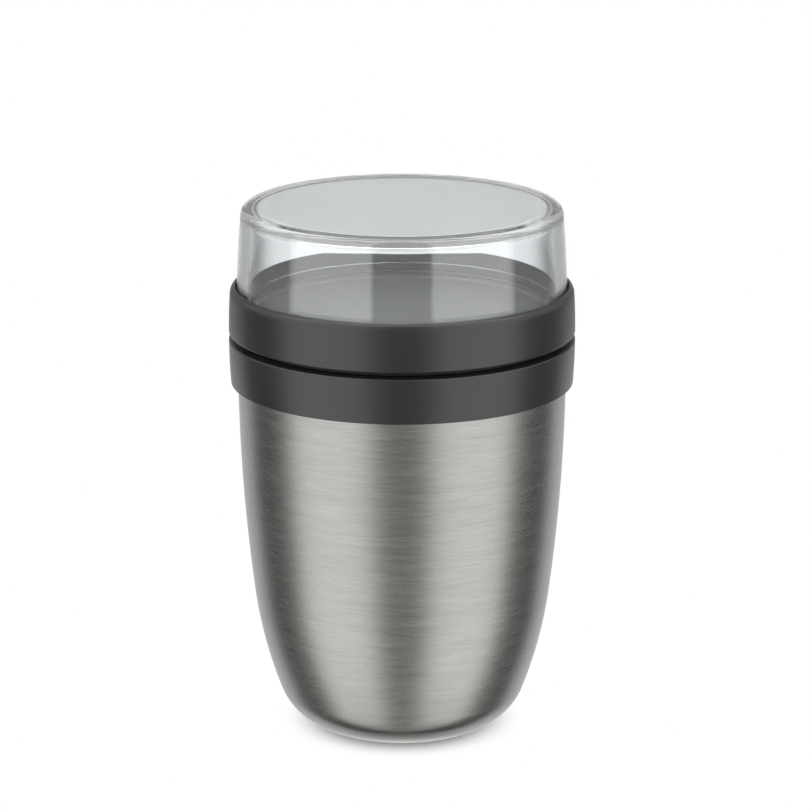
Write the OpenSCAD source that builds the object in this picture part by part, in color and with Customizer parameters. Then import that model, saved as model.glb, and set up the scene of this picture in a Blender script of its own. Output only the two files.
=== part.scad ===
// Insulated food container: a vacuum-walled steel pot, a plug lid with a dish on top, and a clear cover.
// Lengths are in millimetres and angles in degrees. The origin is the centre of the foot, and +Z is up.
// Every piece is turned about the Z axis, so most of them are one outline given as [radius, height] points.

/* [Main outline] */
// Diameter of the two dark bands at their widest, which is the width of the whole
band_d = 107; // [96:0.5:120]
// Distance that the bands stand out from the steel body
band_reach = 2.75; // [2.25:0.05:4]
// Height of the steel body that shows below the collar
body_h = 111.1; // [104:0.1:120]
// Radius of the long arc of the side
side_round = 563; // [480:1:700]
// Radius of the arc between the side and the base rounding
flank_round = 140; // [120:1:160]
// Angle that the flank arc turns through
flank_turn = 13.3; // [12:0.1:14.5]
// Radius of the rounding at the base
base_round = 18.6; // [16:0.1:21]
// Angle that the base rounding turns through
base_turn = 69.4; // [68:0.1:71]

/* [Steel walls] */
// Thickness of the outer shell
shell_wall = 0.6; // [0.4:0.1:0.8]
// Thickness of the inner liner
liner_wall = 0.5; // [0.4:0.1:0.8]
// Evacuated gap between the shell and the liner
vacuum_gap = 4.6; // [4:0.1:6]
// Height of the liner's floor above the table
liner_floor = 10; // [9:0.5:14]
// Height of the straight neck inside the collar
neck_h = 9.5; // [8.5:0.1:10.3]
// Width of the liner's shoulder that the collar stands on
shoulder_w = 1.8; // [1.6:0.1:2.2]
// Thickness of the reflecting foil round the liner
foil_t = 0.15; // [0.1:0.05:0.3]
// Distance that the foil ends below the collar
foil_drop = 5; // [3:0.5:20]

/* [Base] */
// Width of the ring that the pot stands on
foot_w = 1.6; // [1.2:0.1:3]
// Height of the turned-up lip inside the foot
lip_h = 3.4; // [3:0.1:4]
// Thickness of the plate that closes the vacuum
plate_t = 0.6; // [0.4:0.1:0.8]
// Radius of the evacuation hole
port_r = 1.2; // [0.8:0.1:2]
// Radius of the bead that seals the hole
bead_r = 3; // [2.5:0.1:4]
// Height of the bead below the plate
bead_h = 0.8; // [0.6:0.1:1]
// Thickness of the cap over the foot's recess
cap_t = 0.6; // [0.4:0.1:0.8]
// Depth of the cap's face above the table
cap_recess = 0.8; // [0.5:0.1:1]
// Diameter of the getter pill
getter_d = 8; // [6:0.5:10]
// Height of the getter pill
getter_h = 2; // [1.5:0.1:2.5]
// Distance between the getter and the lip inside the foot
getter_inset = 4.4; // [2.5:0.1:6]
// Thickness of the getter's holder
holder_t = 0.4; // [0.3:0.1:0.6]

/* [Bands] */
// Radius of the bulge that both bands share
band_curve = 215; // [180:5:300]
// Height of the lower band
collar_h = 13.9; // [13.4:0.1:18]
// Height of the open groove between the bands
groove_h = 2; // [1.5:0.1:3]
// Height of the upper band
ring_h = 14.4; // [13:0.1:18]
// Thickness of the upper band's wall
ring_wall = 2; // [1.6:0.1:2.2]
// Rounding of the upper band's top edge
rim_round = 1; // [0.4:0.1:1.2]
// Rounding of the edges at the groove
edge_round = 0.5; // [0.2:0.1:0.8]

/* [Lug closure] */
// Number of lugs on the plug, and of ledges in the collar
lug_n = 4; // [3:1:4]
// Angle that one lug spans
lug_arc = 38; // [30:1:38]
// Angle that one ledge spans
ledge_arc = 42; // [40:1:44]
// Angle between a locked lug and its stop
stop_slack = 0.8; // [0.5:0.1:1]
// Reach of a ledge into the mouth
ledge_reach = 1.3; // [1:0.1:1.6]
// Height of a lug
lug_h = 3; // [2.5:0.1:3.2]
// Height of a ledge
ledge_h = 3.5; // [3:0.1:4]
// Height of the lugs above the liner's shoulder
lug_rise = 1.1; // [0.8:0.1:1.4]

/* [Seals] */
// Thickness of the gasket between the liner's rim and the collar
gasket_t = 1; // [0.8:0.1:1.4]
// Width of the lid seal
lid_seal_w = 2.8; // [2:0.1:3]
// Depth of the groove that holds the lid seal
lid_seal_depth = 0.9; // [0.6:0.1:1.2]
// Distance of the lid seal from the collar's mouth
lid_seal_inset = 1.5; // [1.2:0.1:1.8]
// Height of the cover's seal ring
cover_seal_h = 1.5; // [1.2:0.1:1.8]
// Depth of the groove that holds the cover's seal ring
cover_seal_depth = 1.2; // [0.8:0.1:1.5]
// Height of that groove above the cover's lower edge
cover_seal_rise = 1.2; // [1:0.1:1.6]

/* [Lid] */
// Thickness of the web that joins the upper band to the plug
web_t = 2.6; // [2.2:0.1:3]
// Wall of the plug
plug_wall = 1.6; // [1.2:0.1:2]
// Distance that the plug reaches below the collar
plug_drop = 2.9; // [2:0.1:8]
// Rounding at the bottom of the plug
plug_round = 2.5; // [1:0.1:4]
// Width of the flange that hangs the plug on the web
flange_w = 4; // [3:0.1:4.2]
// Thickness of that flange
flange_t = 1.2; // [1:0.1:1.4]
// Thickness of the dish's floor
dish_t = 1.4; // [1.2:0.1:1.8]
// Depth of the dish below the cover's seat
dish_depth = 1.8; // [1.4:0.1:2]
// Width of the cover's seat round the dish
seat_w = 3.3; // [3:0.1:3.5]
// Rounding at the edge of the dish's floor
dish_round = 1; // [0.5:0.1:1.3]

/* [Cover] */
// Gap between the clear cover's foot and the upper band
cover_gap = 0.6; // [0.5:0.05:1]
// Height of the clear cover
cover_h = 32.3; // [28:0.1:60]
// Thickness of its side wall
cover_wall = 3.4; // [2.8:0.1:4]
// Thickness of its top
cover_top = 2.7; // [2:0.1:4]
// Radius of the bulge of its side
cover_curve = 270; // [240:5:400]
// Height of the straight stretch at its foot
cover_skirt = 3; // [3:0.1:3.4]
// Rounding of its outer top edge
cover_round = 3; // [2:0.1:4]
// Rounding of its inner top edge
cover_in_round = 2.2; // [0.5:0.1:2.6]
// Chamfer round its lower edge
cover_edge = 0.3; // [0.1:0.1:0.5]

/* [Clearances] */
// Gap between neighbouring pieces
seat_gap = 0.3; // [0.2:0.05:0.4]
// Gap at a seal that slides
slide_gap = 0.1; // [0.05:0.01:0.15]
// Gap between pieces that are pressed, soldered or wrapped together
snug_gap = 0.05; // [0.02:0.01:0.1]

/* [Hidden] */
$fn = 96;

// Leans of the side, from the vertical, where its arcs meet
base_lean = 90 - base_turn;
flank_lean = 90 - base_turn - flank_turn;

// Heights of the arc centres, up from the foot
flank_cz = base_round + (flank_round - base_round) * sin(base_lean);
side_cz = flank_cz + (side_round - flank_round) * sin(flank_lean);
top_lean = asin((side_cz - body_h) / side_round);

// Radius of the bands, and of the steel body where it enters the collar
band_r = band_d / 2;
neck_r = band_r - band_reach;

// Radii of the arc centres, in from the neck
side_cr = neck_r - side_round * cos(top_lean);
flank_cr = side_cr + (side_round - flank_round) * cos(flank_lean);
foot_r = flank_cr + (flank_round - base_round) * cos(base_lean);

// Insets of the liner's two faces from the shell's outside, and of the foil's inner face
liner_out = shell_wall + vacuum_gap;
liner_in = liner_out + liner_wall;
foil_in = liner_out - snug_gap;

// The rounding at the liner's floor, which starts where the flank arc ends
floor_start_r = flank_cr + (flank_round - liner_in) * cos(base_lean);
floor_start_z = flank_cz - (flank_round - liner_in) * sin(base_lean);
floor_round = (floor_start_z - liner_floor) / (1 - sin(base_lean));
floor_c = [floor_start_r - floor_round * cos(base_lean), liner_floor + floor_round];

// The neck, the mouth and the collar
lip_r = foot_r - foot_w;
mouth_r = neck_r - liner_in;
liner_neck_r = mouth_r + shoulder_w;
rim_z = body_h + neck_h;
shoulder_z = body_h + liner_wall;
gasket_z = rim_z + liner_wall;
web_z = gasket_z + gasket_t;
collar_z = body_h + collar_h;
bore_r = neck_r + seat_gap;
skirt_r = liner_neck_r - seat_gap;

// The bands
band_cz = collar_z + groove_h / 2;
ring_z = collar_z + groove_h;
ring_top_z = ring_z + ring_h;
ring_in_r = band_r - ring_wall;

// The lugs and ledges
ledge_r = mouth_r - ledge_reach;
plug_r = ledge_r - seat_gap;
lug_r = mouth_r - seat_gap;
lug_z = shoulder_z + lug_rise;
ledge_z = lug_z + lug_h + seat_gap;
ledge_top_z = ledge_z + ledge_h;
lug_pitch = 360 / lug_n;
stop_start = lug_arc / 2 + stop_slack;
stop_arc = lug_pitch / 2 - lug_arc - 2 * stop_slack;

// The lid
seal_in_r = mouth_r + lid_seal_inset;
seal_out_r = seal_in_r + lid_seal_w;
seal_top_z = ring_z + lid_seal_depth;
web_top_z = ring_z + web_t;
plug_in_r = plug_r - plug_wall;
plug_z = body_h - plug_drop;
flange_r = plug_r + flange_w;
dish_under_z = web_top_z + flange_t;
dish_z = dish_under_z + dish_t;
seat_z = dish_z + dish_depth;
dish_r = ring_in_r - seat_gap;

// The cover
cover_r = ring_in_r - cover_gap;
cover_top_z = seat_z + cover_h;
cover_cr = cover_r - cover_curve;
cover_cz = seat_z + cover_skirt;
seal_groove_z = seat_z + cover_seal_rise;
seal_groove_r = cover_r - cover_seal_depth;

// The base
plate_z = lip_h + plate_t;
getter_x = lip_r - getter_inset - getter_d / 2;

// Points along an arc about c from angle a to angle b, without its first point
function arc(c, r, a, b, steps) = [
    for (i = [1:steps]) c + r * [cos(a + (b - a) * i / steps), sin(a + (b - a) * i / steps)]
];

// The same points in the other order
function turned_back(line) = [for (i = [len(line) - 1:-1:0]) line[i]];

// The flank and side of the pot up to height top_z, moved in by inset
function side_line(inset, top_z) = concat(
    arc([flank_cr, flank_cz], flank_round - inset, -base_lean, -flank_lean, 6),
    arc([side_cr, side_cz], side_round - inset, -flank_lean, -asin((side_cz - top_z) / side_round), 8)
);

// The outside of the pot from the foot to the collar, moved in by inset
function body_line(inset) = concat(
    [[foot_r, inset]],
    arc([foot_r, base_round], base_round - inset, -90, -base_lean, 12),
    side_line(inset, body_h)
);

// The liner from its floor to the shoulder, moved in by inset, with its floor's rounding of radius r
function liner_line(inset, r) = concat(
    [[0, floor_c[1] - r], [floor_c[0], floor_c[1] - r]],
    arc(floor_c, r, -90, -base_lean, 8),
    side_line(inset, body_h)
);

// Angle on the bands' common bulge at height z, and the radius there
function band_angle(z) = asin((z - band_cz) / band_curve);
function band_radius(z) = band_r - band_curve + band_curve * cos(band_angle(z));

// The bulging outside of a band above height low_z, up to height high_z
function band_line(low_z, high_z) =
    arc([band_r - band_curve, band_cz], band_curve, band_angle(low_z), band_angle(high_z), 6);

// The side of the cover from the end of its skirt to its top edge, moved in by inset
function cover_line(inset, top_z, r) = let (
    curve = cover_curve - inset,
    lean = asin((top_z - r - cover_cz) / (curve - r)),
    c = [cover_cr + (curve - r) * cos(lean), top_z - r]
) concat(
    [[cover_cr + curve, cover_cz]],
    arc([cover_cr, cover_cz], curve, 0, lean, 8),
    arc(c, r, lean, 90, 6),
    [[0, top_z]]
);

// Turns an outline into a solid
module lathe(outline) {
    rotate_extrude() polygon(outline);
}

// A block of a ring, between two radii and two heights, that starts at an angle and spans an arc
module ring_block(r, z, start, span) {
    rotate([0, 0, start])
        rotate_extrude(angle = span)
            translate([r[0], z[0]])
                square([r[1] - r[0], z[1] - z[0]]);
}

// Outer steel skin with its straight neck, and the lip that is turned up inside the foot
module outer_shell() {
    color("silver") lathe(concat(
        [[lip_r, 0]],
        body_line(0),
        [[neck_r, rim_z], [neck_r - shell_wall, rim_z]],
        turned_back(body_line(shell_wall)),
        [[lip_r + shell_wall, shell_wall], [lip_r + shell_wall, lip_h], [lip_r, lip_h]]
    ));
}

// Inner steel pot, with the shoulder for the collar and the flange that closes the neck
module inner_liner() {
    neck_out_r = liner_neck_r + liner_wall;
    color("lightgray") lathe(concat(
        liner_line(liner_out, floor_round + liner_wall),
        [[neck_out_r, body_h], [neck_out_r, rim_z], [neck_r, rim_z], [neck_r, gasket_z]],
        [[liner_neck_r, gasket_z], [liner_neck_r, shoulder_z], [mouth_r, shoulder_z]],
        turned_back(liner_line(liner_in, floor_round))
    ));
}

// Foil wrapped round the liner inside the vacuum
module radiation_shield() {
    top_z = body_h - foil_drop;
    color("gainsboro") lathe(concat(
        side_line(foil_in - foil_t, top_z),
        turned_back(side_line(foil_in, top_z))
    ));
}

// Plate that closes the vacuum, with the evacuation hole at its centre
module base_plate() {
    color("silver") lathe([
        [port_r, lip_h], [lip_r + shell_wall, lip_h], [lip_r + shell_wall, plate_z], [port_r, plate_z]
    ]);
}

// Bead melted over the evacuation hole, with a stem inside the hole
module port_seal() {
    color("darkslategray") lathe([
        [0, lip_h - bead_h], [bead_r, lip_h - bead_h], [bead_r, lip_h],
        [port_r - snug_gap, lip_h], [port_r - snug_gap, plate_z], [0, plate_z]
    ]);
}

// Cap pressed into the foot, with a rim that reaches up to the plate
module base_cap() {
    rim_r = lip_r - snug_gap;
    color("silver") lathe([
        [0, cap_recess], [rim_r, cap_recess], [rim_r, lip_h], [rim_r - cap_t, lip_h],
        [rim_r - cap_t, cap_recess + cap_t], [0, cap_recess + cap_t]
    ]);
}

// Tray welded to the plate that holds the getter
module getter_holder() {
    in_r = getter_d / 2 + snug_gap;
    wall_z = plate_z + holder_t + getter_h / 2;
    color("gray") translate([getter_x, 0]) lathe([
        [0, plate_z], [in_r + holder_t, plate_z], [in_r + holder_t, wall_z],
        [in_r, wall_z], [in_r, plate_z + holder_t], [0, plate_z + holder_t]
    ]);
}

// Pill that takes up the last gas in the vacuum
module getter() {
    color("dimgray")
        translate([getter_x, 0, plate_z + holder_t])
            cylinder(d = getter_d, h = getter_h);
}

// Lower band, the web over the metal rim, and the skirt with the ledges and stops for the lugs
module collar() {
    edge_z = collar_z - edge_round;
    reach = [ledge_r, (mouth_r + skirt_r) / 2];
    color("dimgray") union() {
        lathe(concat(
            [[bore_r, body_h], [band_radius(body_h), body_h]],
            band_line(body_h, edge_z),
            arc([band_radius(edge_z) - edge_round, edge_z], edge_round, 0, 90, 4),
            [[mouth_r + edge_round, collar_z], [mouth_r, edge_z], [mouth_r, shoulder_z]],
            [[skirt_r, shoulder_z], [skirt_r, web_z], [bore_r, web_z]]
        ));
        for (i = [0:lug_n - 1]) rotate([0, 0, i * lug_pitch]) {
            ring_block(reach, [ledge_z, ledge_top_z], -ledge_arc / 2, ledge_arc);
            ring_block(reach, [shoulder_z, ledge_top_z], -stop_start - stop_arc, stop_arc);
        }
    }
}

// Flat ring between the liner's rim and the collar's web
module collar_gasket() {
    color("black") lathe([
        [skirt_r + seat_gap, gasket_z], [neck_r, gasket_z], [neck_r, web_z], [skirt_r + seat_gap, web_z]
    ]);
}

// Seal that fills the inner part of the groove between the bands
module lid_seal() {
    color("black") lathe([
        [seal_in_r, collar_z], [seal_out_r, collar_z], [seal_out_r, seal_top_z], [seal_in_r, seal_top_z]
    ]);
}

// Upper band with the web that carries the plug and the dish
module lid_ring() {
    low = [band_radius(ring_z + edge_round) - edge_round, ring_z + edge_round];
    high = [band_radius(ring_top_z - rim_round) - rim_round, ring_top_z - rim_round];
    in_round = edge_round / 2;
    color("dimgray") lathe(concat(
        [[plug_r + seat_gap, ring_z], [seal_in_r - seat_gap, ring_z], [seal_in_r - seat_gap, seal_top_z]],
        [[seal_out_r + seat_gap, seal_top_z], [seal_out_r + seat_gap, ring_z], [low[0], ring_z]],
        arc(low, edge_round, -90, 0, 4),
        band_line(low[1], high[1]),
        arc(high, rim_round, 0, 90, 6),
        [[ring_in_r + in_round, ring_top_z], [ring_in_r, ring_top_z - in_round]],
        [[ring_in_r, web_top_z], [plug_r + seat_gap, web_top_z]]
    ));
}

// Hollow plug that hangs in the mouth, with its flange and lugs
module plug_cup() {
    wall_mid_r = (plug_r + plug_in_r) / 2;
    color("dimgray") union() {
        lathe(concat(
            [[0, plug_z], [plug_r - plug_round, plug_z]],
            arc([plug_r - plug_round, plug_z + plug_round], plug_round, -90, 0, 6),
            [[plug_r, web_top_z], [flange_r, web_top_z], [flange_r, dish_under_z]],
            [[plug_in_r, dish_under_z], [plug_in_r, plug_z + plug_wall], [0, plug_z + plug_wall]]
        ));
        for (i = [0:lug_n - 1]) rotate([0, 0, i * lug_pitch])
            ring_block([wall_mid_r, lug_r], [lug_z, lug_z + lug_h], -lug_arc / 2, lug_arc);
    }
}

// Insulating filling of the plug
module foam_core() {
    bottom_z = plug_z + plug_wall;
    color("whitesmoke")
        translate([0, 0, bottom_z])
            cylinder(r = plug_in_r - seat_gap, h = dish_under_z - bottom_z);
}

// Shallow dish over the plug, whose raised edge is the cover's seat
module dish() {
    foot_in_r = flange_r + seat_gap;
    floor_r = dish_r - seat_w;
    color("gray") lathe(concat(
        [[0, dish_under_z], [foot_in_r, dish_under_z], [foot_in_r, web_top_z], [dish_r, web_top_z]],
        [[dish_r, seat_z], [floor_r, seat_z]],
        turned_back(arc([floor_r - dish_round, dish_z + dish_round], dish_round, -90, 0, 5)),
        [[floor_r - dish_round, dish_z], [0, dish_z]]
    ));
}

// Clear cover, a thick-walled inverted cup with a groove for its seal
module cover() {
    groove_top_z = seal_groove_z + cover_seal_h;
    in_r = cover_r - cover_wall;
    color("lightcyan", 0.4) lathe(concat(
        [[in_r + cover_edge, seat_z], [cover_r - cover_edge, seat_z], [cover_r, seat_z + cover_edge]],
        [[cover_r, seal_groove_z], [seal_groove_r, seal_groove_z]],
        [[seal_groove_r, groove_top_z], [cover_r, groove_top_z]],
        cover_line(0, cover_top_z, cover_round),
        turned_back(cover_line(cover_wall, cover_top_z - cover_top, cover_in_round)),
        [[in_r, seat_z + cover_edge]]
    ));
}

// Seal ring of the cover, which slides in the upper band
module cover_seal() {
    in_r = seal_groove_r + snug_gap;
    out_r = ring_in_r - slide_gap;
    lip_round = cover_seal_h / 2;
    color("lightgray") lathe(concat(
        [[in_r, seal_groove_z], [out_r - lip_round, seal_groove_z]],
        arc([out_r - lip_round, seal_groove_z + lip_round], lip_round, -90, 90, 10),
        [[in_r, seal_groove_z + cover_seal_h]]
    ));
}

outer_shell();
inner_liner();
radiation_shield();
base_plate();
port_seal();
base_cap();
getter_holder();
getter();
collar();
collar_gasket();
lid_seal();
lid_ring();
plug_cup();
foam_core();
dish();
cover();
cover_seal();
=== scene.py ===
# %% [markdown]
# # Dressing an insulated food container for a studio picture
#
# The container is a vacuum-walled steel pot with two dark bands, a shallow dish on top and a thick
# clear cover. Its solids come from CAD as a fixed frame. This lesson turns a smooth mesh for each piece
# that can be seen, gives every piece a material made of shader nodes, and lights the whole like a
# catalogue picture.
#
# Lengths in this file are in millimetres, as on the CAD drawing, and the helpers turn them into metres.

# %% Load the frame
import math

import bmesh
import bpy
from mathutils import Matrix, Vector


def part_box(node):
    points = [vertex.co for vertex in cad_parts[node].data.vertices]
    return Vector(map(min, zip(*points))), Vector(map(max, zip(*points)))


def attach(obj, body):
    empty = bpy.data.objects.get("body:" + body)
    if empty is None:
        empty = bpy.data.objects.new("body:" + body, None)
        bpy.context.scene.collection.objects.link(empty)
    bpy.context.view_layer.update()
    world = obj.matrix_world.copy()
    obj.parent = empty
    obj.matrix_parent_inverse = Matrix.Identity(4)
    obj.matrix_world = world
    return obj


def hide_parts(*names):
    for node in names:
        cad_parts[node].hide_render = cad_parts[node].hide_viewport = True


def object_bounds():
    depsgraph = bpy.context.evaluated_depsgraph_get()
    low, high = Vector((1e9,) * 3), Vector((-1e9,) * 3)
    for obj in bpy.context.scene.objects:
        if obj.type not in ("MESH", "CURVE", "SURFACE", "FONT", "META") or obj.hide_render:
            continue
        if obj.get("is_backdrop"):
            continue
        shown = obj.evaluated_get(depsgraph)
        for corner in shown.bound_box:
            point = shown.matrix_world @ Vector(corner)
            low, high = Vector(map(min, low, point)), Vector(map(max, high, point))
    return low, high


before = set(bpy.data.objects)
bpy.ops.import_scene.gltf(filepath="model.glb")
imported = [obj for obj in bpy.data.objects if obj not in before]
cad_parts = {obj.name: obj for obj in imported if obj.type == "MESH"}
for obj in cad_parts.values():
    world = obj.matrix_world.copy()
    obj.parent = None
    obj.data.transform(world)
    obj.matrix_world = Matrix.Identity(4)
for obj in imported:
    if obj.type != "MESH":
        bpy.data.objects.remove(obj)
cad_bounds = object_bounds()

MM = 0.001

# %% [markdown]
# Heights and outer radii are read from the frame, so that every new mesh stays exactly where the CAD
# piece is. Only walls, roundings and the arcs of the side are repeated here from the drawing.

# %% Sizes read from the frame
def low(node):
    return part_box(node)[0].z / MM


def high(node):
    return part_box(node)[1].z / MM


def reach(node):
    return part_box(node)[1].x / MM


neck_r = reach("outer_shell")
rim_z = high("outer_shell")
body_h = low("collar")
collar_z = high("collar")
ring_z = low("lid_ring")
ring_top_z = high("lid_ring")
band_r = max(reach("collar"), reach("lid_ring"))
seat_z = low("cover")
cover_top_z = high("cover")
cover_r = reach("cover")
print("bands %.1f mm wide, whole %.1f mm high" % (2 * band_r, cover_top_z))

# %% Sizes repeated from the drawing
shell_wall = 0.6
liner_wall = 0.5
vacuum_gap = 4.6
gasket_t = 1
shoulder_w = 1.8
foot_w = 1.6
lip_h = 3.4
seat_gap = 0.3
ring_wall = 2
web_t = 2.6
plug_wall = 1.6
flange_w = 4
flange_t = 1.2
dish_t = 1.4
seat_w = 3.3
ledge_reach = 1.3

# %% [markdown]
# The side of the pot is three arcs that run into one another without a corner: a tight one at the base,
# a longer one above it, and a very long one up to the collar. Each centre lies on the line through the
# joint and the neighbouring centre, which is what keeps the joints smooth.

# %% Arcs of the side
base_round, flank_round, side_round = 18.6, 140, 563
base_turn, flank_turn = math.radians(69.4), math.radians(13.3)
base_lean = math.pi / 2 - base_turn
flank_lean = base_lean - flank_turn
flank_cz = base_round + (flank_round - base_round) * math.sin(base_lean)
side_cz = flank_cz + (side_round - flank_round) * math.sin(flank_lean)
top_lean = math.asin((side_cz - body_h) / side_round)
side_turn = flank_lean - top_lean
side_cr = neck_r - side_round * math.cos(top_lean)
flank_cr = side_cr + (side_round - flank_round) * math.cos(flank_lean)
foot_r = flank_cr + (flank_round - base_round) * math.cos(base_lean)
print("the foot comes out at %.2f mm radius" % foot_r)

# %% [markdown]
# Every piece here is turned, so its shape is one outline spun about the axis. The helper below draws an
# outline the way a lathe hand would sketch it: straight to a corner, round that corner, swing an arc about
# a centre. All of it is done by bmesh operators: a straight line extrudes the last vertex, an arc spins it,
# and a rounded corner is a vertex bevel.
#
# Smooth shading blends the normals of neighbouring faces, so a long flat face beside a small rounding
# would look bent, and clear plastic would show it as a dark crescent. That is why each line that is several
# times as long as its neighbour gets one more point close to that end.

# %% Outline drawing
SUPPORT, LONG = 0.15, 4
CORNER_STEP, CORNER_LEAST = 0.2, 3


class Outline:
    """A closed line in the XZ plane that is spun about Z into a turned piece."""

    def __init__(self, r, z, rounding=0):
        self.mesh = bmesh.new()
        self.start = self.mesh.verts.new((r * MM, 0, z * MM))
        self.tip = self.start
        self.corners = [(self.start, rounding)]

    def to(self, r, z, rounding=0):
        """Draws a straight line to a corner, which may get a rounding."""
        made = bmesh.ops.extrude_vert_indiv(self.mesh, verts=[self.tip])
        self.tip = made["verts"][0]
        self.tip.co = (r * MM, 0, z * MM)
        self.corners.append((self.tip, rounding))
        return self

    def swing(self, centre, turn, steps):
        """Swings the tip about a centre. A positive turn, in radians, is anticlockwise in a front view."""
        made = bmesh.ops.spin(
            self.mesh, geom=[self.tip], cent=(centre[0] * MM, 0, centre[1] * MM), axis=(0, -1, 0),
            dvec=(0, 0, 0), angle=turn, steps=steps, use_duplicate=False,
        )
        self.tip = next(part for part in made["geom_last"] if isinstance(part, bmesh.types.BMVert))
        return self

    def close(self):
        """Joins the ends, and rounds the corners that ask for it."""
        self.mesh.edges.new((self.tip, self.start))
        for corner, rounding in self.corners:
            if rounding:
                ways = [(edge.other_vert(corner).co - corner.co).normalized() for edge in corner.link_edges]
                turn = math.pi - ways[0].angle(ways[1])
                bmesh.ops.bevel(
                    self.mesh, geom=[corner], offset=rounding * MM * math.tan(turn / 2), affect="VERTICES",
                    segments=max(CORNER_LEAST, round(turn / CORNER_STEP)), profile=0.5, material=-1,
                )
        self.support()
        return self.mesh

    def support(self):
        """Splits each long line close to an end where a short one follows, so that its face stays flat."""
        for edge in self.mesh.edges[:]:
            for end in edge.verts[:]:
                length = edge.calc_length()
                next_length = min(other.calc_length() for other in end.link_edges if other is not edge)
                if length > LONG * max(next_length, SUPPORT * MM):
                    bmesh.utils.edge_split(edge, end, SUPPORT * MM / length)


# %% [markdown]
# A spin works on all that it has made so far, so a full turn in one go is slow. One sector is spun and then
# copied round, which takes a tenth of the time. The seams of the copies and the points on the axis fall
# together, so doubles are merged before the faces are turned outwards.

# %% Spinning an outline into a mesh
FULL_TURN = 2 * math.pi
SPIN_STEPS = 192
SECTORS = 12
MERGE = MM / 1000
SHARP = math.radians(30)


def spin(mesh, turn, steps, copies=False):
    """Spins all of a bmesh about Z, or leaves separate copies along the way."""
    bmesh.ops.spin(
        mesh, geom=mesh.verts[:] + mesh.edges[:] + mesh.faces[:], cent=(0, 0, 0), axis=(0, 0, 1),
        dvec=(0, 0, 0), angle=turn, steps=steps, use_duplicate=copies,
    )


def spun(mesh, steps=SPIN_STEPS):
    """Turns an outline into a closed skin."""
    spin(mesh, FULL_TURN / SECTORS, steps // SECTORS)
    spin(mesh, FULL_TURN * (SECTORS - 1) / SECTORS, SECTORS - 1, copies=True)
    bmesh.ops.remove_doubles(mesh, verts=mesh.verts[:], dist=MERGE)
    bmesh.ops.recalc_face_normals(mesh, faces=mesh.faces[:])
    return mesh


def piece(name, meshes, body, node):
    """Joins the bmeshes into one object that rides on a body and stands for a CAD node."""
    data = bpy.data.meshes.new(name)
    whole = bmesh.new()
    for mesh in meshes:
        mesh.to_mesh(data)
        whole.from_mesh(data)
        mesh.free()
    for face in whole.faces:
        face.smooth = True
    for edge in whole.edges:
        edge.smooth = edge.calc_face_angle(0) < SHARP
    whole.to_mesh(data)
    whole.free()
    made = bpy.data.objects.new(name, data)
    bpy.context.scene.collection.objects.link(made)
    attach(made, body)
    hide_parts(node)
    print("%s: %d faces" % (name, len(data.polygons)))
    return made


# %% [markdown]
# ## The steel pot
#
# The real shell is one drawn sheet, brushed on the outside, with its edge turned up inside the foot. The
# outline runs down the outside, over the foot and up the lip, and comes back inside one wall further in.

# %% Outer shell
ARC_STEPS = 28
sheet_edge, foot_fold, lip_fold = 0.2, 0.5, 0.1
lip_r = foot_r - foot_w
rising_arcs = [
    ((foot_r, base_round), base_turn), ((flank_cr, flank_cz), flank_turn), ((side_cr, side_cz), side_turn)
]


def backwards(arcs):
    """The same arcs, swung from their other end."""
    return [(centre, -turn) for centre, turn in reversed(arcs)]


def swing_along(outline, arcs):
    for centre, turn in arcs:
        outline.swing(centre, turn, ARC_STEPS)


shell = Outline(neck_r, rim_z, sheet_edge).to(neck_r, body_h)
swing_along(shell, backwards(rising_arcs))
shell.to(lip_r, 0, foot_fold).to(lip_r, lip_h, sheet_edge).to(lip_r + shell_wall, lip_h, sheet_edge)
shell.to(lip_r + shell_wall, shell_wall, lip_fold).to(foot_r, shell_wall)
swing_along(shell, rising_arcs)
shell.to(neck_r - shell_wall, rim_z, sheet_edge)
outer_shell = piece("shell_skin", [spun(shell.close())], "pot", "outer_shell")

# %% [markdown]
# The liner is the second steel pot, which holds the food. It follows the same arcs further in, has a
# rounded floor of its own, and ends in a shoulder and a flange that the collar is pushed over.

# %% Inner liner
liner_in = shell_wall + vacuum_gap + liner_wall
liner_z = low("inner_liner") + liner_wall
mouth_r = neck_r - liner_in
liner_neck_r = mouth_r + shoulder_w
shoulder_z = body_h + liner_wall
flange_top_z = rim_z + liner_wall
inner_flank_r = flank_round - liner_in
floor_start = (
    flank_cr + inner_flank_r * math.cos(base_lean),
    flank_cz - inner_flank_r * math.sin(base_lean),
)
floor_round = (floor_start[1] - liner_z) / (1 - math.sin(base_lean))
floor_centre = (floor_start[0] - floor_round * math.cos(base_lean), liner_z + floor_round)
liner_arcs = [(floor_centre, base_turn)] + rising_arcs[1:]

liner = Outline(0, liner_z).to(floor_centre[0], liner_z)
swing_along(liner, liner_arcs)
liner.to(mouth_r, shoulder_z, sheet_edge).to(liner_neck_r, shoulder_z)
liner.to(liner_neck_r, flange_top_z, sheet_edge).to(neck_r, flange_top_z, sheet_edge)
liner.to(neck_r, rim_z).to(liner_neck_r + liner_wall, rim_z)
liner.to(liner_neck_r + liner_wall, body_h).to(mouth_r + liner_wall, body_h)
swing_along(liner, backwards(liner_arcs))
liner.to(0, liner_z - liner_wall)
inner_liner = piece("liner_skin", [spun(liner.close())], "pot", "inner_liner")

# %% [markdown]
# A thin pressed cap closes the foot. It is only seen from below, and its rim is turned up into the lip.

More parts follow.
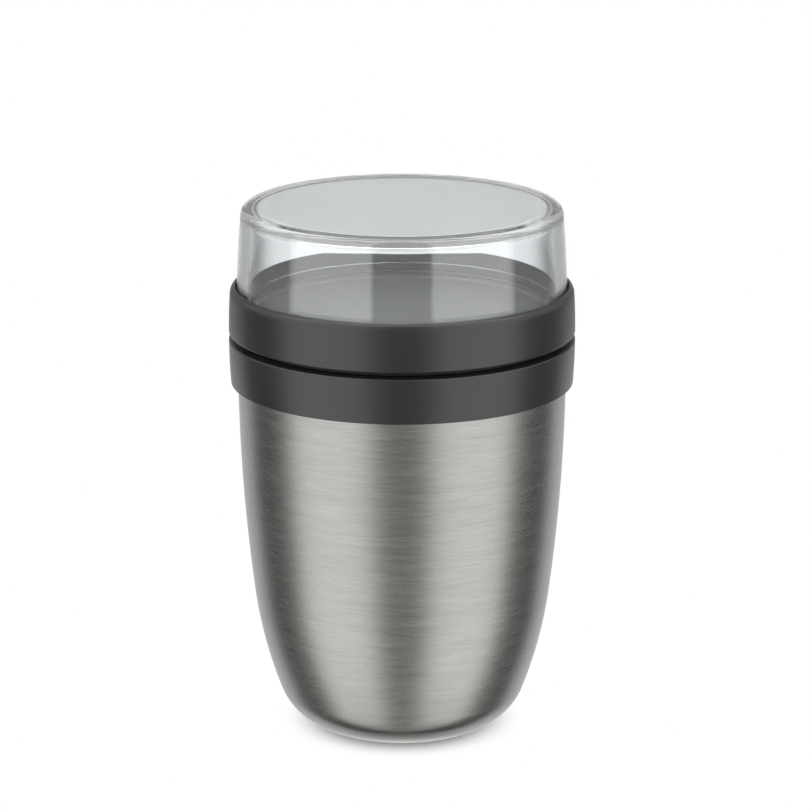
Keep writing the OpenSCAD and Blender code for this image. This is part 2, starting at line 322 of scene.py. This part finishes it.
# %% Base cap
cap_r = reach("base_cap")
cap_z, cap_rim_z = low("base_cap"), high("base_cap")
cap_t, cap_edge = 0.6, 0.1
cap = Outline(0, cap_z).to(cap_r, cap_z, foot_fold).to(cap_r, cap_rim_z, cap_edge)
cap.to(cap_r - cap_t, cap_rim_z, cap_edge).to(cap_r - cap_t, cap_z + cap_t, sheet_edge)
cap.to(0, cap_z + cap_t)
base_cap = piece("base_cap_skin", [spun(cap.close())], "pot", "base_cap")

# %% [markdown]
# ## The two dark bands
#
# Both bands are moulded plastic and share one gentle bulge, so that they look like one wide ring cut in
# two by a groove. The arc of the bulge has its centre at the middle of the groove.

# %% The shared bulge
band_curve = 215
bulge_centre = (band_r - band_curve, (collar_z + ring_z) / 2)
BAND_STEPS = 12


def bulge_angle(z):
    return math.asin((z - bulge_centre[1]) / band_curve)


def bulge_r(z):
    return bulge_centre[0] + band_curve * math.cos(bulge_angle(z))


def along_bulge(outline, low_z, high_z, rounding):
    """Swings up the bulge from one height to another, and rounds the corner at its end."""
    outline.swing(bulge_centre, bulge_angle(high_z) - bulge_angle(low_z), BAND_STEPS)
    outline.corners.append((outline.tip, rounding))


print("the bands lean in by %.2f mm at the bottom" % (band_r - bulge_r(body_h)))

# %% [markdown]
# The collar carries four ledges inside its mouth, which hold the lid's lugs, and four stops that end the
# lid's turn. Each is a small block of a ring: a rectangle spun over a part of a turn, with its long edges
# bevelled.

# %% Blocks of a ring
lug_count = 4
lug_pitch = FULL_TURN / lug_count
BLOCK_BEVEL, BLOCK_STEP, BLOCK_LEAST = 0.25, 0.05, 4


def ring_block(inner_r, outer_r, low_z, high_z, start, turn):
    """A block between two radii and two heights, spun over an angle, with softened edges."""
    mesh = bmesh.new()
    corners = [(inner_r, low_z), (outer_r, low_z), (outer_r, high_z), (inner_r, high_z)]
    mesh.faces.new([mesh.verts.new((r * MM, 0, z * MM)) for r, z in corners])
    bmesh.ops.rotate(mesh, cent=(0, 0, 0), matrix=Matrix.Rotation(start, 3, "Z"), verts=mesh.verts[:])
    spin(mesh, turn, max(BLOCK_LEAST, round(turn / BLOCK_STEP)))
    bmesh.ops.recalc_face_normals(mesh, faces=mesh.faces[:])
    sharp = [edge for edge in mesh.edges if edge.is_manifold and edge.calc_face_angle() > SHARP]
    bmesh.ops.bevel(
        mesh, geom=sharp, offset=BLOCK_BEVEL * MM, segments=2, profile=0.5, affect="EDGES", material=-1
    )
    return mesh


# %% [markdown]
# The collar is one turned ring with an open underside that grips the neck of the pot. Its outline starts
# at the bottom of the bore, goes up the outside, and comes down the mouth. The blocks are added to the
# same mesh, because on the real object they come out of the same mould.

# %% Collar
mould_edge, inner_edge, skirt_edge, tip_edge, groove_edge = 0.1, 0.2, 0.25, 0.3, 0.5
ledge_h, lug_h, lug_rise, stop_slack = 3.5, 3, 1.1, math.radians(0.8)
lug_turn, ledge_turn = math.radians(38), math.radians(42)
bore_r = neck_r + seat_gap
skirt_r = liner_neck_r - seat_gap
web_z = flange_top_z + gasket_t
lug_z = shoulder_z + lug_rise
ledge_z = lug_z + lug_h + seat_gap
ledge_r = mouth_r - ledge_reach
root_r = (mouth_r + skirt_r) / 2
stop_turn = lug_pitch / 2 - lug_turn - 2 * stop_slack

collar = Outline(bore_r, body_h, mould_edge).to(bulge_r(body_h), body_h, skirt_edge)
along_bulge(collar, body_h, collar_z, groove_edge)
collar.to(mouth_r, collar_z, groove_edge).to(mouth_r, shoulder_z, tip_edge)
collar.to(skirt_r, shoulder_z, inner_edge).to(skirt_r, web_z).to(bore_r, web_z)
collar_parts = [spun(collar.close())]
for index in range(lug_count):
    middle = index * lug_pitch
    stop_start = middle - lug_turn / 2 - stop_slack - stop_turn
    collar_parts += [
        ring_block(ledge_r, root_r, ledge_z, ledge_z + ledge_h, middle - ledge_turn / 2, ledge_turn),
        ring_block(ledge_r, root_r, shoulder_z, ledge_z + ledge_h, stop_start, stop_turn),
    ]
collar_band = piece("collar_band", collar_parts, "pot", "collar")

# %% [markdown]
# The lid seal is a flat ring of black rubber, squeezed between the two bands. It is what makes the groove
# between them look black. A rectangle with rounded corners is enough, since nobody sees more of it.

# %% Lid seal
seal_r, seal_low_z, seal_high_z = reach("lid_seal"), low("lid_seal"), high("lid_seal")
seal_inset, seal_low_edge, seal_high_edge = 1.5, 0.3, 0.2
seal_in_r = mouth_r + seal_inset
seal = Outline(seal_in_r, seal_low_z, seal_low_edge).to(seal_r, seal_low_z, seal_low_edge)
seal.to(seal_r, seal_high_z, seal_high_edge).to(seal_in_r, seal_high_z, seal_high_edge)
lid_seal = piece("lid_seal_ring", [spun(seal.close())], "seal", "lid_seal")

# %% [markdown]
# The upper band is the outer wall of the lid. Its top edge isn't a plain rounding: it leans in slowly and
# then turns over quickly, which shows as a soft light zone with a dark lower border. Two arcs make such a
# shoulder. They join smoothly because the second centre lies on the line from the joint to the first one,
# so the heights are worked out backwards from the top.

# %% Upper band
SLOW_ROUND, QUICK_ROUND, SLOW_TURN = 3.6, 1.1, math.radians(35)
SHOULDER_STEPS = 8
slow_lift = SLOW_ROUND * math.sin(SLOW_TURN) + QUICK_ROUND * (1 - math.sin(SLOW_TURN))
start_lean = bulge_angle(ring_top_z - slow_lift)
shoulder_start_z = ring_top_z - slow_lift + SLOW_ROUND * math.sin(start_lean)
slow_centre = (bulge_r(shoulder_start_z) - SLOW_ROUND * math.cos(start_lean), ring_top_z - slow_lift)
quick_centre = (
    slow_centre[0] + (SLOW_ROUND - QUICK_ROUND) * math.cos(SLOW_TURN),
    slow_centre[1] + (SLOW_ROUND - QUICK_ROUND) * math.sin(SLOW_TURN),
)
plug_r = ledge_r - seat_gap
ring_in_r = band_r - ring_wall
web_top_z = ring_z + web_t
ring = Outline(plug_r + seat_gap, ring_z).to(seal_in_r - seat_gap, ring_z, mould_edge)
ring.to(seal_in_r - seat_gap, seal_high_z).to(seal_r + seat_gap, seal_high_z)
ring.to(seal_r + seat_gap, ring_z, mould_edge).to(bulge_r(ring_z), ring_z, groove_edge)
ring.swing(bulge_centre, bulge_angle(shoulder_start_z) - bulge_angle(ring_z), BAND_STEPS)
ring.swing(slow_centre, SLOW_TURN - start_lean, SHOULDER_STEPS)
ring.swing(quick_centre, math.pi / 2 - SLOW_TURN, SHOULDER_STEPS)
ring.to(ring_in_r, ring_top_z).to(ring_in_r, web_top_z).to(plug_r + seat_gap, web_top_z)
lid_ring = piece("upper_band", [spun(ring.close())], "lid", "lid_ring")

# %% [markdown]
# ## Plug and dish
#
# The plug hangs in the mouth of the pot and is only seen when the lid is lifted. The dish above it is
# what the clear cover shows: a flat floor with a small step round it, on which the cover stands.

# %% Plug
plug_z = low("plug_cup")
plug_in_r = plug_r - plug_wall
flange_r = plug_r + flange_w
dish_under_z = web_top_z + flange_t
lug_r, lug_root_r = mouth_r - seat_gap, (plug_r + plug_in_r) / 2
plug_round, plug_in_round = 2.5, 1
plug = Outline(0, plug_z).to(plug_r, plug_z, plug_round).to(plug_r, web_top_z).to(flange_r, web_top_z)
plug.to(flange_r, dish_under_z).to(plug_in_r, dish_under_z)
plug.to(plug_in_r, plug_z + plug_wall, plug_in_round).to(0, plug_z + plug_wall)
plug_parts = [spun(plug.close())]
for index in range(lug_count):
    lug_start = index * lug_pitch - lug_turn / 2
    plug_parts.append(ring_block(lug_root_r, lug_r, lug_z, lug_z + lug_h, lug_start, lug_turn))
plug_cup = piece("plug_body", plug_parts, "lid", "plug_cup")

# %% [markdown]
# The dish is a grey moulding that is pressed into the band. The step under the cover's foot catches a thin
# line of light, so its edge gets a real rounding instead of a painted line.

# %% Dish
dish_r = reach("dish")
dish_z = dish_under_z + dish_t
dish_floor_r = dish_r - seat_w
step_edge, step_foot = 0.6, 1
bowl = Outline(0, dish_under_z).to(flange_r + seat_gap, dish_under_z).to(flange_r + seat_gap, web_top_z)
bowl.to(dish_r, web_top_z).to(dish_r, seat_z, inner_edge).to(dish_floor_r, seat_z, step_edge)
bowl.to(dish_floor_r, dish_z, step_foot).to(0, dish_z)
dish = piece("dish_floor", [spun(bowl.close())], "lid", "dish")

# %% [markdown]
# ## The clear cover
#
# The cover is an upturned cup with a thick wall. Light bends at every face of it, so both its skins are
# real and so is the groove for its seal ring. Its sides bulge a little, and its top runs off very gently
# before it rounds over to the side. That roll-off is only 0.14 mm deep, but a polished face seen at a low
# angle is a mirror, and the far rim then shows the bright paper behind.
#
# The foot stands a hair above the dish. Two faces in exactly the same place would leave it to chance which
# of them a ray meets first.

# %% Cover
cover_wall, cover_top, cover_curve, cover_skirt = 3.4, 2.7, 270, 3
cover_round, cover_in_round, cover_edge = 2.4, 2.2, 0.3
COVER_STEPS = 288
SIDE_STEPS, ROUND_STEPS, ROLL_STEPS, IN_ROUND_STEPS = 24, 16, 8, 12
FOOT_GAP, GROOVE_DEPTH = 0.02, 1.2
ROLL_ROUND, ROLL_TURN = 60, math.radians(4)
cover_cz = seat_z + cover_skirt
cover_centre = (cover_r - cover_curve, cover_cz)
groove_low_z, groove_high_z = low("cover_seal"), high("cover_seal")
groove_r = cover_r - GROOVE_DEPTH


def cover_corner(curve, rounding, top_z):
    """Lean of a side arc where its top rounding starts, and the centre of that rounding."""
    lean = math.asin((top_z - rounding - cover_cz) / (curve - rounding))
    return lean, (cover_centre[0] + (curve - rounding) * math.cos(lean), top_z - rounding)


roll_drop = (ROLL_ROUND - cover_round) * (1 - math.cos(ROLL_TURN))
lean, round_centre = cover_corner(cover_curve, cover_round, cover_top_z - roll_drop)
roll_centre = (round_centre[0] - (ROLL_ROUND - cover_round) * math.sin(ROLL_TURN), cover_top_z - ROLL_ROUND)
in_lean, in_round_centre = cover_corner(cover_curve - cover_wall, cover_in_round, cover_top_z - cover_top)
foot_z = seat_z + FOOT_GAP
cup = Outline(cover_r - cover_wall, foot_z, cover_edge).to(cover_r, foot_z, cover_edge)
cup.to(cover_r, groove_low_z, mould_edge).to(groove_r, groove_low_z).to(groove_r, groove_high_z)
cup.to(cover_r, groove_high_z, mould_edge).to(cover_r, cover_cz)
cup.swing(cover_centre, lean, SIDE_STEPS)
cup.swing(round_centre, math.pi / 2 - lean - ROLL_TURN, ROUND_STEPS)
cup.swing(roll_centre, ROLL_TURN, ROLL_STEPS)
cup.to(0, cover_top_z).to(0, cover_top_z - cover_top).to(in_round_centre[0], cover_top_z - cover_top)
cup.swing(in_round_centre, in_lean - math.pi / 2, IN_ROUND_STEPS)
cup.swing(cover_centre, -in_lean, SIDE_STEPS)
clear_cover = piece("clear_cup", [spun(cup.close(), COVER_STEPS)], "cover", "cover")

# %% [markdown]
# A thin ring in the groove keeps the cover on by friction. Its outside is half round, which is one arc of
# half a turn between two straight lines.

# %% Cover seal
SEAL_SLACK, BEAD_STEPS = 0.05, 12
cover_seal_in_r = groove_r + SEAL_SLACK
cover_seal_r = reach("cover_seal")
bead_round = (groove_high_z - groove_low_z) / 2
cover_seal = Outline(cover_seal_in_r, groove_low_z).to(cover_seal_r - bead_round, groove_low_z)
cover_seal.swing((cover_seal_r - bead_round, groove_low_z + bead_round), math.pi, BEAD_STEPS)
cover_seal.to(cover_seal_in_r, groove_high_z)
seal_bead = piece("cover_seal_ring", [spun(cover_seal.close())], "cover", "cover_seal")

# %% [markdown]
# ## Materials
#
# Shader sums are easier to read as Python expressions than as dozens of node calls. A small class wraps
# one socket: adding or multiplying wraps a Math node, and one method makes any other node.

# %% Sockets as values
class Wire:
    """An output of a shader node. Sums on wires add Math nodes to the same tree."""

    def __init__(self, tree, maker=None, output=0):
        self.tree, self.maker = tree, maker
        self.socket = maker.outputs[output] if maker and maker.outputs else None

    def node(self, kind, settings=None, sockets=None, output=0):
        """Makes a node of a kind, with its settings first and then its sockets' values or links."""
        made = self.tree.nodes.new("ShaderNode" + kind)
        for name, value in (settings or {}).items():
            setattr(made, name, value)
        for name, value in (sockets or {}).items():
            if isinstance(value, Wire):
                self.tree.links.new(value.socket, made.inputs[name])
            else:
                made.inputs[name].default_value = value
        return Wire(self.tree, made, output)

    def output(self, name):
        return Wire(self.tree, self.maker, name)

    def maths(self, operation, *values):
        return self.node("Math", {"operation": operation}, dict(enumerate(values)))

    def vector(self, operation, *values):
        return self.node("VectorMath", {"operation": operation}, dict(enumerate(values)))

    def scaled(self, factor):
        return self.node("VectorMath", {"operation": "SCALE"}, {0: self, "Scale": factor})

    def __add__(self, other):
        return self.maths("ADD", self, other)

    def __sub__(self, other):
        return self.maths("SUBTRACT", self, other)

    def __rsub__(self, other):
        return self.maths("SUBTRACT", other, self)

    def __mul__(self, other):
        return self.maths("MULTIPLY", self, other)

    __radd__, __rmul__ = __add__, __mul__

    def run(self, low_value, high_value):
        """Runs from one number or wire to another as this value goes from 0 to 1."""
        return self * (high_value - low_value) + low_value

    def mix(self, low_colour, high_colour):
        """Runs from one colour to another as this value goes from 0 to 1."""
        colours = {0: self, 6: low_colour, 7: high_colour}
        return self.node("Mix", {"data_type": "RGBA"}, colours, 2)

    def between(self, low_value, high_value, smooth=True):
        """A step from 0 to 1 as this value goes from one limit to the other."""
        limits = {"Value": self, "From Min": low_value, "From Max": high_value}
        return self.node("MapRange", {"interpolation_type": "SMOOTHSTEP" if smooth else "LINEAR"}, limits)


def new_material(name):
    """An empty node material, and a wire to start its nodes from."""
    material = bpy.data.materials.new(name)
    material.use_nodes = True
    material.node_tree.nodes.clear()
    return material, Wire(material.node_tree)


def finish_surface(start, shader):
    start.node("OutputMaterial", sockets={"Surface": shader})


def dress(object_, material):
    object_.data.materials.clear()
    object_.data.materials.append(material)
    print("%s wears %s" % (object_.name, material.name))


# %% [markdown]
# Brushed steel is a metal whose scratches all run round the pot. Along them it is nearly a mirror and
# across them it is rough, which draws each lamp out into a tall stripe: that is what Anisotropic does. The
# scratches themselves are a noise that is stretched round the axis. Its three coordinates are the
# direction from the axis, which has no seam, and the way down the profile. Nearly all of a noise lies
# between 0.3 and 0.7, so that stretch is what runs from the dark tone to the light one.

# %% Brushed steel
NOISE_LOW, NOISE_HIGH = 0.3, 0.7
BRUSHED, FINE_SHARE, GLOSS_SWING = 0.75, 0.7, 0.1
SCRATCH_BUMP, SCRATCH_DEPTH = 0.2, 0.02


def streaks(place, length, width, detail):
    """Noise in streaks round Z, of a length and width in millimetres at the widest of the pot."""
    outwards = place.vector("MULTIPLY", place, (1, 1, 0))
    radius = outwards.vector("LENGTH", outwards).output("Value")
    height = place.node("SeparateXYZ", sockets={0: place}, output="Z")
    around = place.vector("NORMALIZE", outwards).scaled(neck_r / length)
    down = place.node("CombineXYZ", sockets={"Z": (radius + height) * (1 / (width * MM))})
    unrolled = place.vector("ADD", around, down)
    return place.node("TexNoise", sockets={"Vector": unrolled, "Scale": 1, "Detail": detail})


def brushed_steel(name, dark, light, roughness):
    material, start = new_material(name)
    place = start.node("TexCoord", output="Object")
    fine = streaks(place, length=9, width=0.3, detail=3)
    broad = streaks(place, length=40, width=2.5, detail=2)
    tone = fine * FINE_SHARE + broad * (1 - FINE_SHARE)
    scratches = {"Strength": SCRATCH_BUMP, "Distance": SCRATCH_DEPTH * MM, "Height": fine}
    finish_surface(start, start.node("BsdfPrincipled", sockets={
        "Base Color": tone.between(NOISE_LOW, NOISE_HIGH, False).mix(dark, light), "Metallic": 1,
        "Roughness": tone * GLOSS_SWING + (roughness - GLOSS_SWING / 2), "Anisotropic": BRUSHED,
        "Normal": start.node("Bump", sockets=scratches),
    }))
    return material


pot_steel = brushed_steel(
    "brushed_pot_steel", dark=(0.25, 0.246, 0.235, 1), light=(0.34, 0.335, 0.32, 1), roughness=0.27
)
liner_steel = brushed_steel(
    "satin_liner_steel", dark=(0.5, 0.5, 0.49, 1), light=(0.6, 0.6, 0.59, 1), roughness=0.3
)
foil = brushed_steel("bright_foil", dark=(0.8, 0.8, 0.81, 1), light=(0.9, 0.9, 0.9, 1), roughness=0.15)
dress(outer_shell, pot_steel)
dress(base_cap, pot_steel)
dress(inner_liner, liner_steel)
for node in ("base_plate", "getter_holder"):
    dress(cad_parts[node], liner_steel)
dress(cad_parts["radiation_shield"], foil)


# %% [markdown]
# Plastic and rubber parts differ in colour, gloss and grain, and in nothing else, so one function makes
# them all. A fine noise gives the moulded grain and a cloudy one keeps a large face from looking painted.
# The grain only bends the light. It is far too shallow to be worth any geometry.

# %% Moulded plastics and rubbers
CLOUD_SCALE, GRAIN_BUMP = 60, 0.5
TONE_SWING, MATT_SWING = 0.12, 0.06


def moulded(name, colour, roughness, grain, depth):
    """A plastic or rubber with a fine moulded grain, given in millimetres."""
    material, start = new_material(name)
    place = start.node("TexCoord", output="Object")
    fine = start.node("TexNoise", sockets={"Vector": place, "Scale": 1 / (grain * MM), "Detail": 2})
    cloudy = start.node("TexNoise", sockets={"Vector": place, "Scale": CLOUD_SCALE, "Detail": 2})
    tone = (fine * 0.5 + cloudy * 0.5).between(NOISE_LOW, NOISE_HIGH, False)
    darker = tuple((1 - TONE_SWING) * part for part in colour) + (1,)
    lighter = tuple((1 + TONE_SWING) * part for part in colour) + (1,)
    grained = {"Strength": GRAIN_BUMP, "Distance": depth * MM, "Height": fine}
    finish_surface(start, start.node("BsdfPrincipled", sockets={
        "Base Color": tone.mix(darker, lighter), "Normal": start.node("Bump", sockets=grained),
        "Roughness": cloudy * MATT_SWING + (roughness - MATT_SWING / 2),
    }))
    return material


band_plastic = moulded("matt_dark_plastic", (0.016, 0.016, 0.0165), roughness=0.34, grain=0.25, depth=0.002)
dish_plastic = moulded("grey_dish_plastic", (0.2, 0.2, 0.199), roughness=0.26, grain=0.25, depth=0.002)
black_rubber = moulded("black_rubber", (0.012, 0.012, 0.012), roughness=0.6, grain=0.3, depth=0.004)
grey_rubber = moulded("grey_seal_rubber", (0.05, 0.05, 0.05), roughness=0.65, grain=0.3, depth=0.003)
white_foam = moulded("white_foam", (0.85, 0.85, 0.83), roughness=0.8, grain=0.8, depth=0.1)
porous_pill = moulded("porous_pill", (0.12, 0.12, 0.12), roughness=0.8, grain=0.3, depth=0.05)
bead_glass = moulded("melted_glass_bead", (0.12, 0.17, 0.16), roughness=0.1, grain=1.5, depth=0.01)
for part in (collar_band, lid_ring, plug_cup):
    dress(part, band_plastic)
dress(dish, dish_plastic)
dress(lid_seal, black_rubber)
dress(seal_bead, grey_rubber)
hidden = {
    "collar_gasket": black_rubber, "foam_core": white_foam, "getter": porous_pill, "port_seal": bead_glass,
}
for node, material in hidden.items():
    dress(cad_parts[node], material)


# %% [markdown]
# The cover is clear, slightly cool plastic. The tint is small because a ray passes four or more faces. The
# last few hundredths of transmission are left out, which stands for the faint haze of moulded plastic.
# The foot is frosted where the mould was cut, so the material fades from frosted to clear by height.

# %% Clear plastic
CLEARNESS, HAZE, HAZE_SCALE = 0.955, 0.01, 40
FROST_FROM, FROST_TO = 0.03, 0.2
FROST_GREY, FROST_ROUGHNESS = (0.8, 0.8, 0.8, 1), 0.5


def clear_plastic(name, tint, index):
    material, start = new_material(name)
    place = start.node("TexCoord", output="Object")
    cloudy = start.node("TexNoise", sockets={"Vector": place, "Scale": HAZE_SCALE, "Detail": 1})
    clear = start.node("BsdfPrincipled", sockets={
        "Base Color": tint, "Roughness": cloudy * HAZE, "IOR": index, "Transmission Weight": CLEARNESS,
    })
    frosted = start.node("BsdfPrincipled", sockets={"Base Color": FROST_GREY, "Roughness": FROST_ROUGHNESS})
    above_foot = place.node("SeparateXYZ", sockets={0: place}, output="Z").between(
        (seat_z + FROST_FROM) * MM, (seat_z + FROST_TO) * MM
    )
    finish_surface(start, start.node("MixShader", sockets={0: above_foot, 1: frosted, 2: clear}))
    return material


dress(clear_cover, clear_plastic("clear_cover_plastic", tint=(0.945, 0.965, 0.972, 1), index=1.57))

# %% [markdown]
# ## Studio
#
# What makes a catalogue picture of steel and clear plastic is what they reflect. Two tall soft boxes stand
# beside the camera with a dark gap between them, black flags stand at the sides, and a white sweep of paper
# rises behind the object. Here they are painted into the world. Each place in it is known by two angles:
# the azimuth from the camera, which is 180 degrees straight behind the object, and the height.

# %% Directions in the world
DEGREES = 180 / math.pi
world = bpy.data.worlds.new("studio")
bpy.context.scene.world = world
world.use_nodes = True
world.node_tree.nodes.clear()
start = Wire(world.node_tree)
way = start.node("TexCoord", output="Generated")
level_way = way.vector("NORMALIZE", way.vector("MULTIPLY", way, (1, 1, 0)))
azimuth = start.maths("ARCCOSINE", start.node("SeparateXYZ", sockets={0: level_way}, output="Y") * -1)
height = start.maths("ARCSINE", start.node("SeparateXYZ", sockets={0: way}, output="Z"))
azimuth, height = azimuth * DEGREES, height * DEGREES

# %% [markdown]
# The numbers below are those angles, in degrees, and the brightness of each thing. The flags reach up to
# the horizon: the steel and the bands see them, and get dark edges, while the dish and the cover look over
# them at the pale wall of the studio. Behind the flags the lit table shows low down, under grey wings. The
# paper ends a little above the horizon, because the flat top of the cover is a mirror at this low angle: a
# bright sky above the paper would wash it out. One narrow strip of light hangs overhead and draws the thin
# highlights on the rims. Light from below fades, as it does where the pot shades its own table.

# %% Lights by direction
SOFT = 2
BOX_FROM, BOX_TO, TABLE_FROM, PAPER_FROM = 21, 84, 130, 169
TABLE_TOP, FLAG_TOP, PAPER_TOP, SHADE_TOP = (-16, -12.5), (-4, 4), (9, 11.5), (-95, -40)
GAP, BOX, FLAG, WALL = 0.2, 1.92, 0.08, 0.8
TABLE, WING, PAPER, CEILING, SHADE = 1.0, 0.4, 1.1, 0.3, 0.2
STRIP, STRIP_END, STRIP_LIGHT = 6, (25, 30), 5
in_gap = 1 - azimuth.between(BOX_FROM - SOFT, BOX_FROM + SOFT)
past_box = azimuth.between(BOX_TO - SOFT, BOX_TO + SOFT)
wings = azimuth.between(TABLE_FROM - SOFT, TABLE_FROM + SOFT)
behind = azimuth.between(PAPER_FROM - 2 * SOFT, PAPER_FROM + 2 * SOFT)
side = height.between(*FLAG_TOP).run(FLAG, WALL)
beside_paper = wings.run(side, height.between(*TABLE_TOP).run(TABLE, WING))
front = in_gap.run(BOX, GAP)
back = behind.run(beside_paper, height.between(*PAPER_TOP).run(PAPER, CEILING))
shadow = height.between(*SHADE_TOP).run(SHADE, 1)
along = start.maths("ABSOLUTE", start.node("SeparateXYZ", sockets={0: way}, output="Y"))
upwards = start.node("SeparateXYZ", sockets={0: way}, output="Z")
off_strip = start.maths("ARCTAN2", along, upwards) * DEGREES
strip = (1 - off_strip.between(STRIP - SOFT, STRIP + SOFT)) * height.between(*STRIP_END)
panorama = past_box.run(front, back) * shadow + strip * STRIP_LIGHT

# %% [markdown]
# The camera itself sees pure white behind the object. That is set by the kind of ray, not by more light,
# so it doesn't wash out the object. Rays that are reflected by metal or pass through the clear cover see
# the panorama, which holds the white paper where such rays go.

# %% White for the camera
by_camera = start.node("LightPath").output("Is Camera Ray")
WHITE = (1, 1, 1, 1)
background = start.node("Background", sockets={"Color": WHITE, "Strength": by_camera.run(panorama, 1)})
start.node("OutputWorld", sockets={"Surface": background})
print("the studio takes %d nodes" % len(world.node_tree.nodes))

# %% [markdown]
# The floor is the same white paper. Only a soft shadow close to the foot shows where the pot stands: there
# the floor is real paper that receives light, and further out it fades to the white of the background. It
# is there for the camera alone, since all other rays already find paper in the panorama, and from
# underneath it is clear, so that the foot can be looked at.

# %% Floor
SHADOW_FROM, SHADOW_TO = 22, 39
FLOOR_REACH, FLOOR_SIDES, PAPER_WHITE = 4, 64, (0.85, 0.85, 0.85, 1)
floor_mesh = bmesh.new()
bmesh.ops.create_circle(floor_mesh, cap_ends=True, segments=FLOOR_SIDES, radius=FLOOR_REACH)
floor_data = bpy.data.meshes.new("floor")
floor_mesh.to_mesh(floor_data)
floor_mesh.free()
floor = bpy.data.objects.new("floor", floor_data)
bpy.context.scene.collection.objects.link(floor)
floor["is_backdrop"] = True
floor_paint, start = new_material("pale_floor")
place = start.node("TexCoord", output="Object")
from_axis = start.vector("LENGTH", place).output("Value") * (1 / MM)
paper = start.node("BsdfDiffuse", sockets={"Color": PAPER_WHITE})
white = start.node("Emission", sockets={"Color": WHITE, "Strength": 1})
past_shadow = from_axis.between(SHADOW_FROM, SHADOW_TO)
upper_side = start.node("MixShader", sockets={0: past_shadow, 1: paper, 2: white})
underneath = start.node("NewGeometry", output="Backfacing")
nothing = start.node("BsdfTransparent")
finish_surface(start, start.node("MixShader", sockets={0: underneath, 1: upper_side, 2: nothing}))
dress(floor, floor_paint)
floor.visible_glossy = floor.visible_transmission = floor.visible_diffuse = floor.visible_shadow = False

# %% [markdown]
# The camera stands where the ellipses of the bands and of the base say it stood: a long lens about a metre
# away, looking down by fifteen degrees. Clear plastic needs many bounces, because light runs down inside
# its wall, and it turns black where a path is cut short.

# %% Camera
LENS, TILT, BOUNCES = 159.35, math.radians(74.6), 40
STAND = (0.00091, -1.0748, 0.3987)
camera_data = bpy.data.cameras.new("camera")
camera_data.lens = LENS
camera = bpy.data.objects.new("camera", camera_data)
bpy.context.scene.collection.objects.link(camera)
camera.location = STAND
camera.rotation_euler = (TILT, 0, 0)
bpy.context.scene.camera = camera
bpy.context.scene.view_settings.view_transform = "Standard"
cycles = bpy.context.scene.cycles
cycles.max_bounces = cycles.glossy_bounces = cycles.transmission_bounces = BOUNCES
print("camera %.2f m from the axis" % abs(camera.location.y))

# %% [markdown]
# The dressed object has to be as large as the solids. The height of both boxes is printed.

# %% Sizes of both boxes
boxes = {"cad": cad_bounds, "visual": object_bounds()}
for name, box in boxes.items():
    print("%s height: %.2f mm" % (name, (box[1][2] - box[0][2]) / MM))
